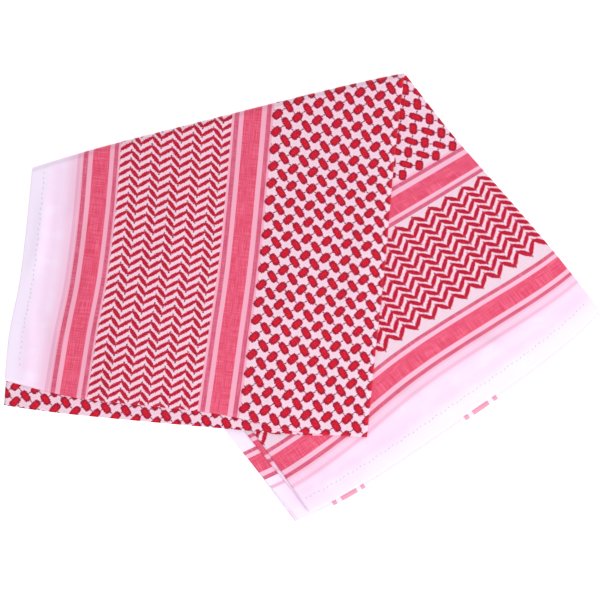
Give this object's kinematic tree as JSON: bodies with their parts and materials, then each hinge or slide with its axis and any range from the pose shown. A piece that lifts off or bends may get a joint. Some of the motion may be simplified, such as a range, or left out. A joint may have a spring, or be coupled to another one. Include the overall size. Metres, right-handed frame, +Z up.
{
  "type": "folded keffiyeh headscarf",
  "caption": "Square cotton headscarf in red and white check with striped borders, folded to a strip, folded once across on a slant, lying flat.",
  "frame": {"origin": "centre of the folded scarf's footprint, on the surface that it lies on", "axes": "+X along the longest side of the folded footprint, towards the tip of the right arm; +Y towards the slanted crease; +Z up out of the cloth"},
  "size_m": [0.597, 0.4496, 0.0121],
  "materials": {
    "patterned_cotton": "plain woven cotton, off-white ground with red floats in a houndstooth, zigzag and striped borders, matt with a faint sheen",
    "hem_cotton": "plain woven off-white cotton, turned under and machine stitched, matt"
  },
  "bodies": {
    "root": {"right_arm_west_hem": "hem_cotton", "right_arm_west_third": "patterned_cotton", "right_arm_east_third": "patterned_cotton", "right_arm_north_hem": "hem_cotton", "right_arm_middle_third": "patterned_cotton", "left_arm_middle_third": "patterned_cotton", "left_arm_hidden_layers": "patterned_cotton", "left_arm_west_hem": "hem_cotton", "left_arm_west_third": "patterned_cotton"}
  },
  "joints": []
}
